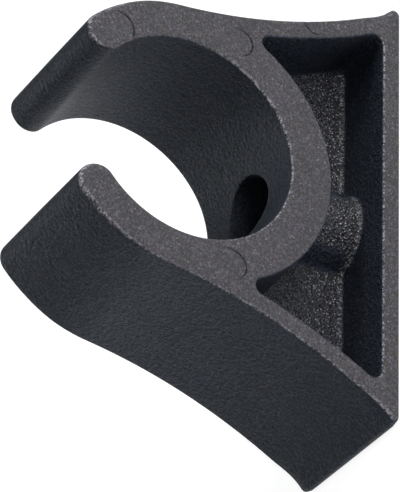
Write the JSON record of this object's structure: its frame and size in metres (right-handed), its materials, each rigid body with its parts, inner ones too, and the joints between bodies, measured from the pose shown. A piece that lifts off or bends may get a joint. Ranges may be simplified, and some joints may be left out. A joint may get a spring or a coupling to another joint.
{
  "type": "pole clip",
  "caption": "Moulded plastic snap clip for a boat pole: an open round seat between two springy jaws, on a flared foot with a recessed screw hole.",
  "frame": {"origin": "on the mounting face, where the axis of the screw hole crosses it", "axes": "+Z points away from the surface the clip is screwed to, +Y runs along the held tube, and +X runs along the foot towards the right jaw"},
  "size_m": [0.0552, 0.0188, 0.0397],
  "materials": {
    "black_plastic": "charcoal black, fine spark-eroded moulding grain"
  },
  "bodies": {
    "body": {"clip_body": "black_plastic"},
    "left_jaw": {"jaw_left": "black_plastic"},
    "right_jaw": {"jaw_right": "black_plastic"}
  },
  "joints": [
    {"name": "left_jaw_flex", "type": "hinge", "parent": "body", "child": "left_jaw", "pos_m": [-0.01869, 0, 0.0196], "axis": [0, -1, 0], "range_deg": [0, 15], "stiffness_Nm_per_rad": 8},
    {"name": "right_jaw_flex", "type": "hinge", "parent": "body", "child": "right_jaw", "pos_m": [0.01869, 0, 0.0196], "axis": [0, 1, 0], "range_deg": [0, 15], "stiffness_Nm_per_rad": 8}
  ]
}
